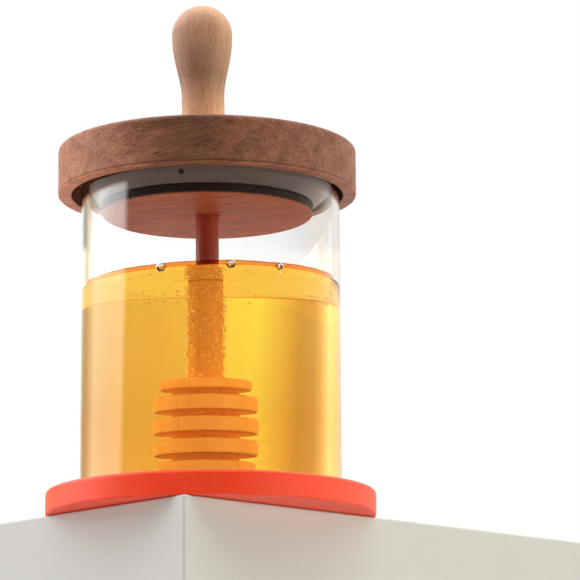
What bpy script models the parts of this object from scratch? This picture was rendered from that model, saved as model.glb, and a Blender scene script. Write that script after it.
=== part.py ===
"""A glass honey pot.

A straight glass stands in a shallow silicone tray and is filled with honey. A turned wooden lid
lies on the glass. Under the lid are a plug, a flared silicone seal and a honey dipper that hangs
down into the honey, and on top is a pale bulb-shaped knob.

Metres, +Z up. The origin is on the table, at the middle of the tray's underside.
"""
import math

import bpy
from mathutils import Vector

# Driving dimensions
GAP = 0.0003                    # kept between pieces that touch

TRAY_RADIUS = 0.0542
TRAY_HEIGHT = 0.0080
TRAY_FLOOR = 0.0030             # silicone left under the glass
TRAY_TOP_ROUNDING = 0.0012
TRAY_FOOT_ROUNDING = 0.0006

GLASS_RADIUS = 0.0430
GLASS_WALL = 0.0022
GLASS_FLOOR = 0.0030
GLASS_RIM_Z = 0.1142
GLASS_HEEL_ROUNDING = 0.0025
GLASS_INNER_ROUNDING = 0.0020
GLASS_RIM_ROUNDING = 0.0009

HONEY_WALL_Z = 0.0775           # top of the honey where it climbs the glass
HONEY_CLIMB = 0.0009
HONEY_CLIMB_WIDTH = 0.0030

LID_X = -0.0011                 # the lid lies a little off the middle of the glass
LID_RADIUS = 0.0497
LID_TOP_Z = 0.1235
LID_SKIRT_Z = 0.1075
LID_SKIRT_INNER_RADIUS = 0.0452
LID_TOP_ROUNDING = 0.0015
LID_SKIRT_ROUNDING = 0.0005
PLUG_RADIUS = 0.0352
PLUG_BOTTOM_Z = 0.1007
PLUG_FLANGE_Z = 0.1038          # top of the plug's lower disc
PLUG_NECK_RADIUS = 0.0330
PLUG_ROUNDING = 0.0004

SEAL_INNER_THICKNESS = 0.0022
SEAL_TIP_Z = 0.1088
SEAL_TIP_THICKNESS = 0.0009
SEAL_ROOT_RADIUS = 0.0356       # where the flare leaves the flat ring round the neck

KNOB_X = -0.0022                # middle of the knob's foot
KNOB_LEAN = math.radians(-0.85)
KNOB_HEIGHT = 0.0498
KNOB_RADIUS = 0.01015
KNOB_NECK_RADIUS = 0.00715
KNOB_NECK_HEIGHT = 0.0180       # above the foot
KNOB_FOOT_RADIUS = 0.0076
KNOB_TAPER_POWER = 1.15         # above 1 the bulb stays full for longer before it tapers

ROD_RADIUS = 0.00385
ROD_SOCKET_DEPTH = 0.0075
HEAD_TOP_Z = 0.0428
HEAD_TOP_DISC = 0.0034
HEAD_GROOVE = 0.0020
HEAD_PITCH = 0.00717
HEAD_CORE_RADIUS = 0.0074
HEAD_DISC_RADII = (0.0102, 0.0115, 0.01165, 0.01155, 0.0109)
HEAD_DISC_ROUNDING = 0.0009
HEAD_END_DISC = 0.0062
HEAD_END_ROUNDING = 0.0020

LARGE_STEPS = 56                # facets round the tray, glass, honey, lid and seal
SMALL_STEPS = 28                # facets round the knob and the dipper
CUTTER_TOP_Z = HONEY_WALL_Z + 0.010
MERGE_DISTANCE = 0.00001


def start_empty():
    for old in list(bpy.data.objects):
        bpy.data.objects.remove(old, do_unlink=True)


def new_collection(name):
    collection = bpy.data.collections.new(name)
    bpy.context.scene.collection.children.link(collection)
    return collection


def new_material(name, colour, roughness, transmission=0.0, ior=1.45):
    material = bpy.data.materials.new(name)
    material.use_nodes = True
    shader = material.node_tree.nodes["Principled BSDF"]
    shader.inputs["Base Color"].default_value = (*colour, 1.0)
    shader.inputs["Roughness"].default_value = roughness
    shader.inputs["Metallic"].default_value = 0.0
    shader.inputs["Transmission Weight"].default_value = transmission
    shader.inputs["IOR"].default_value = ior
    return material


def rounded(corners, arc_steps=2, closed=False):
    """Points of an outline given as (radius, height, rounding) corners, with an arc at each
    corner whose rounding is above zero."""
    points = []
    count = len(corners)
    for index, (radius, height, rounding) in enumerate(corners):
        here = Vector((radius, height))
        is_end = not closed and index in (0, count - 1)
        if rounding == 0 or is_end:
            points.append(here)
            continue
        before = Vector(corners[index - 1][:2]) - here
        after = Vector(corners[(index + 1) % count][:2]) - here
        half_angle = before.angle(after) / 2
        to_middle = (before.normalized() + after.normalized()).normalized()
        middle = here + to_middle * rounding / math.sin(half_angle)
        reach = rounding / math.tan(half_angle)
        first = here + before.normalized() * reach - middle
        last = here + after.normalized() * reach - middle
        for step in range(arc_steps + 1):
            share = step / arc_steps
            # a blend of the two ends, pushed out to the arc's radius
            spoke = first.lerp(last, share).normalized() * rounding
            points.append(middle + spoke)
    return points


def turned(name, points, steps, material, collection, closed=False):
    """A solid turned round Z. The outline runs down its outer side, top to bottom."""
    mesh = bpy.data.meshes.new(name)
    edges = [(index, index + 1) for index in range(len(points) - 1)]
    if closed:
        edges.append((len(points) - 1, 0))
    mesh.from_pydata([(point.x, 0.0, point.y) for point in points], edges, [])
    mesh.materials.append(material)
    piece = bpy.data.objects.new(name, mesh)
    collection.objects.link(piece)
    screw = piece.modifiers.new("turn", "SCREW")
    screw.axis = "Z"
    screw.angle = math.tau
    screw.steps = steps
    screw.render_steps = steps
    screw.use_merge_vertices = True
    screw.merge_threshold = MERGE_DISTANCE
    screw.use_smooth_shade = True
    return piece


def make_tray(collection):
    recess_radius = GLASS_RADIUS + 2 * GAP
    corners = [
        (0.0, TRAY_FLOOR, 0.0),
        (recess_radius, TRAY_FLOOR, 0.0),
        (recess_radius, TRAY_HEIGHT, TRAY_TOP_ROUNDING),
        (TRAY_RADIUS, TRAY_HEIGHT, TRAY_TOP_ROUNDING),
        (TRAY_RADIUS, 0.0, TRAY_FOOT_ROUNDING),
        (0.0, 0.0, 0.0),
    ]
    silicone = new_material("red_silicone", (0.80, 0.09, 0.03), 0.45)
    return turned("silicone_tray", rounded(corners), LARGE_STEPS, silicone, collection)


def make_glass(collection):
    outside_floor = TRAY_FLOOR + GAP
    inside_floor = outside_floor + GLASS_FLOOR
    inner_radius = GLASS_RADIUS - GLASS_WALL
    corners = [
        (0.0, inside_floor, 0.0),
        (inner_radius, inside_floor, GLASS_INNER_ROUNDING),
        (inner_radius, GLASS_RIM_Z, GLASS_RIM_ROUNDING),
        (GLASS_RADIUS, GLASS_RIM_Z, GLASS_RIM_ROUNDING),
        (GLASS_RADIUS, outside_floor, GLASS_HEEL_ROUNDING),
        (0.0, outside_floor, 0.0),
    ]
    clear = new_material("clear_glass", (0.95, 0.97, 0.97), 0.02, transmission=1.0, ior=1.5)
    return turned("glass_jar", rounded(corners), LARGE_STEPS, clear, collection)


def dipper_points(grow=0.0):
    """The dipper's outline from the rod's upper end to the foot of the head. With grow, every
    face stands that much further out, for the space that the honey leaves round it."""
    if grow:
        rod_top = CUTTER_TOP_Z
    else:
        rod_top = PLUG_BOTTOM_Z + ROD_SOCKET_DEPTH - GAP
    rod_radius = ROD_RADIUS + grow
    core_radius = HEAD_CORE_RADIUS + grow
    corners = [(0.0, rod_top, 0.0), (rod_radius, rod_top, 0.0)]
    disc_top = HEAD_TOP_Z
    last = len(HEAD_DISC_RADII) - 1
    inner_radius = rod_radius
    for index, disc_radius in enumerate(HEAD_DISC_RADII):
        thickness = HEAD_PITCH - HEAD_GROOVE
        if index == 0:
            thickness = HEAD_TOP_DISC
        if index == last:
            thickness = HEAD_END_DISC
        lower_rounding = HEAD_END_ROUNDING if index == last else HEAD_DISC_ROUNDING
        upper = disc_top + grow
        lower = disc_top - thickness - grow
        outer = disc_radius + grow
        corners.append((inner_radius, upper, 0.0))
        corners.append((outer, upper, HEAD_DISC_ROUNDING))
        corners.append((outer, lower, lower_rounding))
        if index < last:
            corners.append((core_radius, lower, 0.0))
        else:
            corners.append((0.0, lower, 0.0))
        inner_radius = core_radius
        disc_top -= thickness + HEAD_GROOVE
    return rounded(corners, arc_steps=1)


def make_dipper(collection):
    wood = new_material("dipper_wood", (0.36, 0.15, 0.06), 0.5)
    dipper = turned("dipper", dipper_points(), SMALL_STEPS, wood, collection)
    dipper.location.x = LID_X
    return dipper


def make_honey(collection, cutters):
    """The filling, one body up to its surface, with the space of the dipper cut out of it."""
    inside_floor = TRAY_FLOOR + GAP + GLASS_FLOOR
    honey_radius = GLASS_RADIUS - GLASS_WALL - GAP
    middle_z = HONEY_WALL_Z - HONEY_CLIMB
    climb_start = honey_radius - HONEY_CLIMB_WIDTH
    corners = [
        (0.0, middle_z, 0.0),
        (climb_start, middle_z, 0.0),
        (honey_radius - HONEY_CLIMB_WIDTH / 3, middle_z + HONEY_CLIMB / 3, 0.0),
        (honey_radius, HONEY_WALL_Z, 0.0),
        (honey_radius, inside_floor + GAP, GLASS_INNER_ROUNDING + GAP),
        (0.0, inside_floor + GAP, 0.0),
    ]
    amber = new_material("honey", (0.95, 0.55, 0.08), 0.03, transmission=1.0, ior=1.49)
    honey = turned("honey", rounded(corners), LARGE_STEPS, amber, collection)

    cutter = turned("dipper_space", dipper_points(grow=GAP), SMALL_STEPS, amber, cutters)
    cutter.location.x = LID_X
    cutter.hide_render = True
    cutter.display_type = "WIRE"
    cut = honey.modifiers.new("dipper space", "BOOLEAN")
    cut.operation = "DIFFERENCE"
    cut.solver = "EXACT"
    cut.object = cutter
    return honey


def make_lid(collection):
    """The disc with its skirt, and the plug in one piece with it. The disc lies on the glass."""
    ceiling = GLASS_RIM_Z + GAP
    socket_radius = ROD_RADIUS + GAP
    socket_end = PLUG_BOTTOM_Z + ROD_SOCKET_DEPTH
    corners = [
        (0.0, LID_TOP_Z, 0.0),
        (LID_RADIUS, LID_TOP_Z, LID_TOP_ROUNDING),
        (LID_RADIUS, LID_SKIRT_Z, LID_SKIRT_ROUNDING),
        (LID_SKIRT_INNER_RADIUS, LID_SKIRT_Z, LID_SKIRT_ROUNDING),
        (LID_SKIRT_INNER_RADIUS, ceiling, 0.0),
        (PLUG_NECK_RADIUS, ceiling, 0.0),
        (PLUG_NECK_RADIUS, PLUG_FLANGE_Z, 0.0),
        (PLUG_RADIUS, PLUG_FLANGE_Z, PLUG_ROUNDING),
        (PLUG_RADIUS, PLUG_BOTTOM_Z, PLUG_ROUNDING),
        (socket_radius, PLUG_BOTTOM_Z, 0.0),
        (socket_radius, socket_end, 0.0),
        (0.0, socket_end, 0.0),
    ]
    walnut = new_material("walnut", (0.22, 0.10, 0.06), 0.5)
    lid = turned("lid", rounded(corners), LARGE_STEPS, walnut, collection)
    lid.location.x = LID_X
    return lid


def make_seal(collection):
    """A ring round the plug's neck whose lip flares up and outwards to the glass. The ring is
    centred on the lid and the lip's edge in the glass, so the turned lip is pushed sideways."""
    ring_radius = PLUG_NECK_RADIUS + GAP
    ring_z = PLUG_FLANGE_Z + GAP
    tip_radius = GLASS_RADIUS - GLASS_WALL - GAP
    corners = [
        (ring_radius, ring_z + SEAL_INNER_THICKNESS, 0.0),
        (SEAL_ROOT_RADIUS - SEAL_TIP_THICKNESS, ring_z + SEAL_INNER_THICKNESS, 0.0),
        (tip_radius - SEAL_TIP_THICKNESS, SEAL_TIP_Z + SEAL_TIP_THICKNESS, 0.0),
        (tip_radius, SEAL_TIP_Z, 0.0),
        (SEAL_ROOT_RADIUS, ring_z, 0.0),
        (ring_radius, ring_z, 0.0),
    ]
    grey = new_material("grey_silicone", (0.42, 0.38, 0.37), 0.4)
    points = rounded(corners, closed=True)
    profile = turned("seal_profile", points, LARGE_STEPS, grey, collection, closed=True)
    evaluated = profile.evaluated_get(bpy.context.evaluated_depsgraph_get())
    mesh = bpy.data.meshes.new_from_object(evaluated)
    bpy.data.objects.remove(profile, do_unlink=True)

    for vertex in mesh.vertices:
        radius = math.hypot(vertex.co.x, vertex.co.y)
        outward = (radius - SEAL_ROOT_RADIUS) / (tip_radius - SEAL_ROOT_RADIUS)
        vertex.co.x += LID_X * (1 - max(0.0, outward))
    mesh.name = "seal_ring"
    seal = bpy.data.objects.new("seal_ring", mesh)
    collection.objects.link(seal)
    return seal


def smooth_step(share):
    return share * share * (3 - 2 * share)


def make_knob(collection):
    """A ball that tapers to a neck and ends in a slightly wider foot. It leans a little."""
    ball_height = KNOB_HEIGHT - KNOB_RADIUS
    points = []
    ball_steps = 6
    for step in range(ball_steps + 1):
        angle = math.pi / 2 * step / ball_steps
        points.append(Vector((KNOB_RADIUS * math.sin(angle),
                              ball_height + KNOB_RADIUS * math.cos(angle))))
    taper_steps = 7
    for step in range(1, taper_steps + 1):
        share = step / taper_steps
        narrowing = smooth_step(share ** KNOB_TAPER_POWER)
        points.append(Vector((KNOB_RADIUS + (KNOB_NECK_RADIUS - KNOB_RADIUS) * narrowing,
                              ball_height + (KNOB_NECK_HEIGHT - ball_height) * share)))
    foot_steps = 3
    for step in range(1, foot_steps + 1):
        share = step / foot_steps
        points.append(Vector((KNOB_NECK_RADIUS + (KNOB_FOOT_RADIUS - KNOB_NECK_RADIUS) * share ** 2,
                              KNOB_NECK_HEIGHT * (1 - share))))
    points.append(Vector((0.0, 0.0)))
    beech = new_material("beech", (0.62, 0.42, 0.27), 0.5)
    knob = turned("knob", points, SMALL_STEPS, beech, collection)
    knob.location = (KNOB_X, 0.0, LID_TOP_Z + GAP)
    knob.rotation_euler.y = KNOB_LEAN
    return knob


def main():
    start_empty()
    parts = new_collection("glass_honey_pot")
    cutters = new_collection("cutters")
    make_tray(parts)
    make_glass(parts)
    make_honey(parts, cutters)
    make_lid(parts)
    make_seal(parts)
    make_knob(parts)
    make_dipper(parts)


main()
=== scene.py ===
# %% [markdown]
# # A glass honey pot, piece by piece
#
# This lesson dresses a finished construction model of a honey pot. The model gives every size, so
# each piece here is built where the model says and nothing is fitted by eye afterwards. We go from
# the camera to the light, then through the glass, the honey, the wood and the silicone.

# %% Loading the frame
import math
import random

import bmesh
import bpy
from mathutils import Matrix, Vector, noise


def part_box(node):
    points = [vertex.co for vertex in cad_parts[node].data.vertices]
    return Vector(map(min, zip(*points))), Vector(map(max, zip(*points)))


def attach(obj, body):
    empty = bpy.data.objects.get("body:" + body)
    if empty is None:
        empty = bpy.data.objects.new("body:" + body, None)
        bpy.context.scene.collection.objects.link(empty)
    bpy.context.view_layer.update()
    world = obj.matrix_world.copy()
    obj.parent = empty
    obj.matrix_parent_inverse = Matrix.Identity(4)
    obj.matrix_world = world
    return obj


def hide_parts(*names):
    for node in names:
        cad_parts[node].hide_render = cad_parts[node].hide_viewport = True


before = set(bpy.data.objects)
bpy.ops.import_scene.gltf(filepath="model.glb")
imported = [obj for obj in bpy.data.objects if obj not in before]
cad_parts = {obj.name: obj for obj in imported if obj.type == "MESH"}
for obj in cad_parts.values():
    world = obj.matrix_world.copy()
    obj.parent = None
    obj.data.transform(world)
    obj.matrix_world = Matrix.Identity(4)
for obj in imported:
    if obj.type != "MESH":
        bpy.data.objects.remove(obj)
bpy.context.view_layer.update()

MM = 0.001
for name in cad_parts:
    low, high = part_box(name)
    print(f"{name}: from z {low[2] / MM:.1f} to {high[2] / MM:.1f} mm")

# %% [markdown]
# ## The camera
#
# The picture was taken from below the pot with a long lens, which is why we see the underside of
# the lid. A camera can be placed by trial, but a round object gives it away: each ellipse in the
# picture fixes how steeply we look at its circle. So the place and the three turns below were
# worked out from the circles of the lid, the glass and the tray.

# %% The camera at the photograph's place
IMAGE_SIDE = 580
FOCAL_PIXELS = 3290.6
SENSOR_WIDTH = 36.0
CAMERA_PLACE = (0.0, -1.0713, -0.14174)
CAMERA_YAW = 0.0246
CAMERA_PITCH = 0.2003
CAMERA_ROLL = -0.0062

camera_data = bpy.data.cameras.new("camera")
camera_data.lens = FOCAL_PIXELS * SENSOR_WIDTH / IMAGE_SIDE
camera_data.sensor_width = SENSOR_WIDTH
camera_data.clip_start = 0.01
camera = bpy.data.objects.new("camera", camera_data)
bpy.context.scene.collection.objects.link(camera)
turn = (Matrix.Rotation(-CAMERA_YAW, 4, "Z")
        @ Matrix.Rotation(math.pi / 2 + CAMERA_PITCH, 4, "X")
        @ Matrix.Rotation(CAMERA_ROLL, 4, "Z"))
camera.matrix_world = Matrix.Translation(CAMERA_PLACE) @ turn
bpy.context.scene.camera = camera
bpy.context.scene.view_settings.view_transform = "Standard"
print(f"lens {camera_data.lens:.1f} mm")

# %% [markdown]
# ## Writing shaders as sums
#
# A node tree is easier to read as an expression. `Wire` wraps a node's output, and Python's own
# operators then add Math nodes, so `1 - mask * 0.3` is three short nodes. Every other node comes
# from one method, `Recipe.add`, which sets the node's settings first and its sockets after.

# %% A wire that does arithmetic
def plug(tree, socket, value):
    if isinstance(value, Wire):
        tree.links.new(value.socket, socket)
    else:
        socket.default_value = value


class Wire:
    """A node's output. Arithmetic on it adds Math nodes."""

    def __init__(self, tree, socket):
        self.tree = tree
        self.socket = socket

    def math(self, operation, *others, clamp=False):
        node = self.tree.nodes.new("ShaderNodeMath")
        node.operation = operation
        node.use_clamp = clamp
        for index, value in enumerate((self, *others)):
            plug(self.tree, node.inputs[index], value)
        return Wire(self.tree, node.outputs[0])

    def __add__(self, other):
        return self.math("ADD", other)

    __radd__ = __add__

    def __mul__(self, other):
        return self.math("MULTIPLY", other)

    __rmul__ = __mul__

    def __sub__(self, other):
        return self.math("SUBTRACT", other)

    def __rsub__(self, other):
        return self * -1 + other

    def __truediv__(self, other):
        return self.math("DIVIDE", other)

    def __pow__(self, other):
        return self.math("POWER", other)


# %% A recipe of nodes
class Recipe:
    """A node tree that is being written."""

    def __init__(self, tree):
        self.tree = tree
        tree.nodes.clear()

    def add(self, kind, settings=None, inputs=None, output=0):
        node = self.tree.nodes.new(kind)
        for name, value in (settings or {}).items():
            if name == "stops":
                self.set_stops(node.color_ramp, value)
            else:
                setattr(node, name, value)
        for name, value in (inputs or {}).items():
            plug(self.tree, node.inputs[name], value)
        return Wire(self.tree, node.outputs[output])

    @staticmethod
    def set_stops(ramp, stops):
        while len(ramp.elements) > 1:
            ramp.elements.remove(ramp.elements[-1])
        for index, (place, colour) in enumerate(stops):
            element = ramp.elements[0] if index == 0 else ramp.elements.new(place)
            element.position = place
            element.color = (*colour, 1.0)

    def mix(self, factor, first, second, kind="MIX"):
        """A Mix node on colours."""
        settings = {"data_type": "RGBA", "blend_type": kind}
        for_colour = {0: factor, 6: opaque(first), 7: opaque(second)}
        return self.add("ShaderNodeMix", settings, for_colour, output=2)

    def times(self, first, second):
        """One colour multiplied by another."""
        return self.mix(1.0, first, second, "MULTIPLY")

    def noise(self, vector, scale, detail=3.0, roughness=0.5):
        return self.add("ShaderNodeTexNoise", {"noise_dimensions": "3D"}, {
            "Vector": vector, "Scale": scale, "Detail": detail, "Roughness": roughness})

    def stretch(self, vector, scale, place=(0, 0, 0), turn=(0, 0, 0)):
        return self.add("ShaderNodeMapping", {}, {
            "Vector": vector, "Location": place, "Rotation": turn, "Scale": scale})

    def parts(self, vector):
        """The three numbers of a vector, as wires."""
        node = self.tree.nodes.new("ShaderNodeSeparateXYZ")
        plug(self.tree, node.inputs[0], vector)
        return [Wire(self.tree, output) for output in node.outputs]

    def grey(self, value):
        return self.add("ShaderNodeCombineColor", {}, {"Red": value, "Green": value,
                                                       "Blue": value})

    def ramp(self, factor, stops):
        return self.add("ShaderNodeValToRGB", {"stops": stops}, {"Fac": factor})

    def ease(self, value, low, high):
        """0 below low, 1 above high, and smooth between."""
        return self.add("ShaderNodeMapRange", {"interpolation_type": "SMOOTHSTEP"}, {
            "Value": value, "From Min": low, "From Max": high})

    def relief(self, height, strength, distance):
        return self.add("ShaderNodeBump", {}, {"Height": height, "Strength": strength,
                                               "Distance": distance})

    def round_axis(self, place, axis_x=0.0):
        """Measures from an upright axis at axis_x: sideways, outwards and up."""
        x, y, height = self.parts(self.stretch(place, (1, 1, 1), place=(-axis_x, 0, 0)))
        return x, (x * x + y * y) ** 0.5, height


def opaque(colour):
    return colour if isinstance(colour, Wire) else (*colour, 1.0)


# %% The first and the last step of a material
def new_material(name):
    material = bpy.data.materials.new(name)
    material.use_nodes = True
    recipe = Recipe(material.node_tree)
    place = recipe.add("ShaderNodeTexCoord", output="Object")
    return material, recipe, place


def finish_material(recipe, sockets, volume=None):
    shader = recipe.add("ShaderNodeBsdfPrincipled", {}, sockets)
    surface = {"Surface": shader}
    if volume is not None:
        surface["Volume"] = volume
    output = recipe.tree.nodes.new("ShaderNodeOutputMaterial")
    for name, value in surface.items():
        plug(recipe.tree, output.inputs[name], value)


# %% [markdown]
# ## The light
#
# Clear glass and honey show nothing of their own: they show the room, bent. So the room is the
# most important material of all. The honey works as a strong round lens. Its right half shows what
# stands behind on the left, and its left half what stands behind on the right. Lamps and cards
# would make such a room, but every edge of theirs would show in the glass. So we paint a studio
# into the world: a white background, a tall soft light at the left, low light panels at both sides
# for the tray and the lid's underside, and a dim, warm front. Each band of height has its own ring
# of colours round the compass.

# %% Colours round the compass
# Angles in degrees: 0 is behind the pot, -90 its left and 90 its right.
MIDDLE_BAND = (
    (-180, (0.05, 0.04, 0.04)),
    (-101, (0.05, 0.04, 0.04)),
    (-98, (3.40, 3.40, 3.40)),
    (-66, (3.40, 3.40, 3.40)),
    (-60, (2.20, 2.15, 2.00)),
    (-54, (1.50, 1.40, 1.15)),
    (-49, (1.10, 1.00, 0.78)),
    (-44, (0.93, 0.72, 0.48)),
    (-35, (0.89, 0.72, 0.52)),
    (-28, (1.12, 1.00, 0.76)),
    (-22, (1.22, 1.35, 1.02)),
    (-17, (1.32, 1.65, 1.27)),
    (-9, (1.28, 1.54, 1.26)),
    (-4, (1.14, 1.17, 1.16)),
    (2, (1.12, 1.12, 1.10)),
    (6, (1.14, 1.10, 1.00)),
    (12, (1.10, 1.02, 0.96)),
    (22, (1.09, 1.00, 0.92)),
    (32, (0.99, 0.91, 0.80)),
    (40, (0.98, 0.92, 0.84)),
    (52, (0.95, 0.93, 0.88)),
    (62, (0.76, 0.52, 0.32)),
    (76, (0.40, 0.32, 0.25)),
    (96, (0.06, 0.05, 0.05)),
    (180, (0.05, 0.04, 0.04)),
)
# Near the horizon, with a light panel at each side.
LOW_BAND = (
    (-180, (0.07, 0.06, 0.05)),
    (-118, (0.10, 0.08, 0.07)),
    (-102, (5.00, 4.80, 4.50)),
    (-68, (5.00, 4.80, 4.50)),
    (-58, (1.12, 1.06, 1.00)),
    (54, (1.12, 1.06, 1.00)),
    (66, (5.00, 4.90, 3.90)),
    (138, (5.00, 4.90, 3.90)),
    (152, (0.10, 0.08, 0.07)),
    (180, (0.07, 0.06, 0.05)),
)
# Below the horizon. The panels are dimmer here, or they would burn out the pot's flanks.
DEEP_BAND = (
    (-180, (0.07, 0.06, 0.05)),
    (-122, (0.10, 0.08, 0.07)),
    (-106, (1.60, 1.50, 1.35)),
    (-68, (1.60, 1.50, 1.35)),
    (-58, (1.12, 1.06, 1.00)),
    (54, (1.12, 1.06, 1.00)),
    (66, (1.60, 1.45, 1.20)),
    (106, (1.60, 1.45, 1.20)),
    (112, (5.00, 4.90, 3.90)),
    (138, (5.00, 4.90, 3.90)),
    (152, (0.10, 0.08, 0.07)),
    (180, (0.07, 0.06, 0.05)),
)
# Above the pot, with a wide light at each side.
HIGH_BAND = (
    (-180, (0.08, 0.07, 0.06)),
    (-120, (0.12, 0.10, 0.09)),
    (-102, (3.80, 3.80, 3.80)),
    (-55, (3.80, 3.80, 3.80)),
    (-20, (1.00, 1.00, 1.00)),
    (30, (1.00, 1.00, 1.00)),
    (60, (2.60, 2.50, 2.35)),
    (100, (2.60, 2.50, 2.35)),
    (118, (0.12, 0.10, 0.09)),
    (180, (0.08, 0.07, 0.06)),
)
# What two dark flags take away from the middle band above the honey's line of sight.
FLAGS = (
    (-180, (1.00, 1.00, 1.00)),
    (-36, (1.00, 1.00, 1.00)),
    (-32, (0.36, 0.39, 0.46)),
    (-21, (0.36, 0.37, 0.44)),
    (-17, (0.98, 0.80, 1.00)),
    (-9, (0.98, 0.83, 1.00)),
    (-4, (1.00, 1.00, 1.00)),
    (-1, (1.00, 1.00, 1.00)),
    (3, (0.84, 0.85, 0.88)),
    (26, (0.84, 0.86, 0.90)),
    (45, (1.00, 1.00, 1.00)),
    (180, (1.00, 1.00, 1.00)),
)
FLAG_HEIGHT = (0.2085, 0.2125)
CEILING = (3.3, 3.2, 3.1)
ROOM_BRIGHTEST = 5.0

# %% A studio painted into the world
DEEP_TO_LOW = (-0.04, 0.0)
LOW_TO_MIDDLE = (0.08, 0.125)
MIDDLE_TO_HIGH = (0.30, 0.38)
HIGH_TO_CEILING = (0.70, 0.88)
# The middle band's edges lean, as the photograph's long highlights do.
LEAN_HEIGHT = 0.24
LEAN = 0.20
# The tall soft light's lower end is dimmer.
SOFTBOX_EDGE = (-66, -58)
SOFTBOX_FOOT = (0.58, 0.56, 0.50)
SOFTBOX_FOOT_HEIGHT = (0.206, 0.213)
# The background's tone at a few heights of the sight line.
BACKDROP = (
    (0.140, (1.00, 0.84, 0.84)),
    (0.148, (0.99, 0.81, 0.80)),
    (0.160, (0.94, 0.79, 0.74)),
    (0.180, (0.98, 0.90, 0.88)),
    (0.210, (1.00, 1.00, 1.00)),
)

world = bpy.data.worlds.new("studio")
bpy.context.scene.world = world
world.use_nodes = True
studio = Recipe(world.node_tree)
direction = studio.add("ShaderNodeTexCoord", output="Generated")
east, north, height = studio.parts(direction)
compass = east.math("ARCTAN2", north) / math.tau + 0.5


def on_compass(degrees):
    """Where an angle lies on a ramp that runs once round the compass."""
    return degrees / 360 + 0.5


def ring_of_colours(band, place, brightest=ROOM_BRIGHTEST):
    """A band's ramp holds shares of the brightest colour. The background's strength undoes it."""
    stops = []
    for degrees, colour in band:
        stops.append((on_compass(degrees), [channel / brightest for channel in colour]))
    return studio.ramp(place, stops)


leaning = compass + (height - LEAN_HEIGHT) * LEAN
middle = studio.times(ring_of_colours(MIDDLE_BAND, leaning), studio.ramp(height, BACKDROP))
flagged = studio.times(middle, ring_of_colours(FLAGS, leaning, brightest=1.0))
middle = studio.mix(studio.ease(height, *FLAG_HEIGHT), middle, flagged)
foot = 1 - studio.ease(leaning, *[on_compass(degrees) for degrees in SOFTBOX_EDGE])
foot = foot * (1 - studio.ease(height, *SOFTBOX_FOOT_HEIGHT))
middle = studio.mix(foot, middle, studio.times(middle, SOFTBOX_FOOT))
low = studio.mix(studio.ease(height, *DEEP_TO_LOW), ring_of_colours(DEEP_BAND, compass),
                 ring_of_colours(LOW_BAND, compass))
room = studio.mix(studio.ease(height, *LOW_TO_MIDDLE), low, middle)
high = ring_of_colours(HIGH_BAND, compass)
room = studio.mix(studio.ease(height, *MIDDLE_TO_HIGH), room, high)
ceiling = [channel / ROOM_BRIGHTEST for channel in CEILING]
room = studio.mix(studio.ease(height, *HIGH_TO_CEILING), room, ceiling)
seen = studio.add("ShaderNodeLightPath", output="Is Camera Ray")
light = studio.mix(seen, room, [1 / ROOM_BRIGHTEST] * 3)
background = studio.add("ShaderNodeBackground", {}, {"Color": light, "Strength": ROOM_BRIGHTEST})
world_output = studio.tree.nodes.new("ShaderNodeOutputWorld")
plug(studio.tree, world_output.inputs["Surface"], background)
print(f"the middle band has {len(MIDDLE_BAND)} colours round the compass")

# %% [markdown]
# ## Turning on a lathe
#
# Nearly every piece of a honey pot is round, so one helper does most of the modelling. We give the
# outline as a few corners, each with the radius of its rounding, and `bmesh.ops.spin` turns it.
# A Screw modifier would do the same, but the operator leaves a mesh that the next step can still
# shape. Beside each rounding the helper sets one more point on the straight, a holding edge,
# because smooth shading would otherwise let the rounding's slope leak along the whole wall. In
# clear glass such a leak shows as a false bend.

# %% An outline with rounded corners
def rounded(corners, arc_steps=5, hold=0.5, closed=False):
    """Outline points from (radius, height, rounding) corners."""
    points = []
    count = len(corners)
    for index, (radius, height, rounding) in enumerate(corners):
        here = Vector((radius, height))
        if rounding == 0 or (not closed and index in (0, count - 1)):
            points.append(here)
            continue
        before = Vector(corners[index - 1][:2]) - here
        after = Vector(corners[(index + 1) % count][:2]) - here
        half_angle = before.angle(after) / 2
        before.normalize()
        after.normalize()
        middle = here + (before + after).normalized() * rounding / math.sin(half_angle)
        reach = rounding / math.tan(half_angle)
        points.append(here + before * (reach + hold * rounding))
        first = here + before * reach - middle
        last = here + after * reach - middle
        sweep = first.angle(last)
        for step in range(arc_steps + 1):
            share = step / arc_steps
            spoke = first * math.sin((1 - share) * sweep) + last * math.sin(share * sweep)
            points.append(middle + spoke / math.sin(sweep))
        points.append(here + after * (reach + hold * rounding))
    return points


# %% The lathe
MERGE_DISTANCE = 0.001 * MM


def turned(points, steps, closed=False, fine_at=(), fine_steps=0):
    """A bmesh spun round Z from outline points, with its poles closed. fine_at lists sectors,
    as start and end angles in degrees, that get fine_steps steps each."""
    shape = bmesh.new()
    ring = [shape.verts.new((point.x, 0.0, point.y)) for point in points]
    pairs = list(zip(ring, ring[1:]))
    if closed:
        pairs.append((ring[-1], ring[0]))
    last = ring + [shape.edges.new(pair) for pair in pairs]
    sectors = []
    reached = 0.0
    for start, end in sorted(fine_at):
        sectors.append((start - reached, max(1, round((start - reached) / 360 * steps))))
        sectors.append((end - start, fine_steps))
        reached = end
    sectors.append((360 - reached, max(1, round((360 - reached) / 360 * steps))))
    for sweep, sector_steps in sectors:
        spun = bmesh.ops.spin(shape, geom=last, cent=(0, 0, 0), axis=(0, 0, 1), dvec=(0, 0, 0),
                              angle=math.radians(sweep), steps=sector_steps,
                              use_merge=len(sectors) == 1, use_duplicate=False)
        last = spun["geom_last"]
    bmesh.ops.remove_doubles(shape, verts=shape.verts, dist=MERGE_DISTANCE)
    bmesh.ops.recalc_face_normals(shape, faces=shape.faces)
    return shape


# %% From a bmesh to a piece
def mesh_from(shape, name):
    mesh = bpy.data.meshes.new(name)
    shape.to_mesh(mesh)
    shape.free()
    return mesh


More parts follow.
